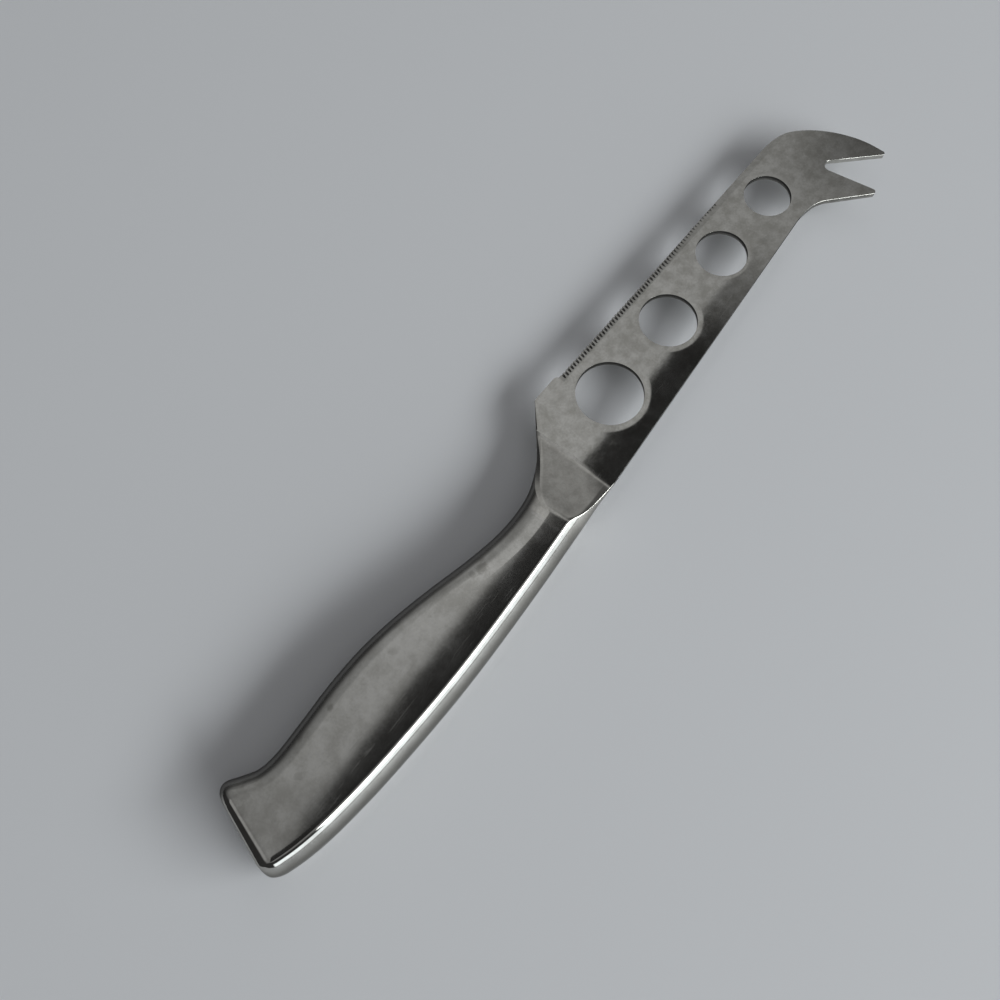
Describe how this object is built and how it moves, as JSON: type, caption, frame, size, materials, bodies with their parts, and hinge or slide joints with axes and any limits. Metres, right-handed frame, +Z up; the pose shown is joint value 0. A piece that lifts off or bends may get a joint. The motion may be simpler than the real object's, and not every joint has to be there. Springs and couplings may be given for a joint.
{
  "type": "cheese knife",
  "caption": "All-steel cheese knife: a pierced blade with a fine saw edge and a forked, turned-down tip, on a hollow steel handle.",
  "frame": {"origin": "centre of the knife's footprint, on the surface that it lies on", "axes": "+X from the butt to the forked tip, +Y from the spine to the cutting edge, +Z up, square to the blade's flat"},
  "size_m": [0.2386, 0.036, 0.0128],
  "materials": {
    "blade_steel": "satin, mottled with wear",
    "handle_steel": "fine satin, lightly scratched",
    "weld_steel": "ground flush with the steel beside it"
  },
  "bodies": {
    "root": {"blade": "blade_steel", "bolster": "handle_steel", "shell_upper": "handle_steel", "shell_lower": "handle_steel", "blade_weld": "weld_steel", "neck_weld": "weld_steel", "belly_weld": "weld_steel", "butt_weld": "weld_steel", "spine_weld": "weld_steel"}
  },
  "joints": []
}
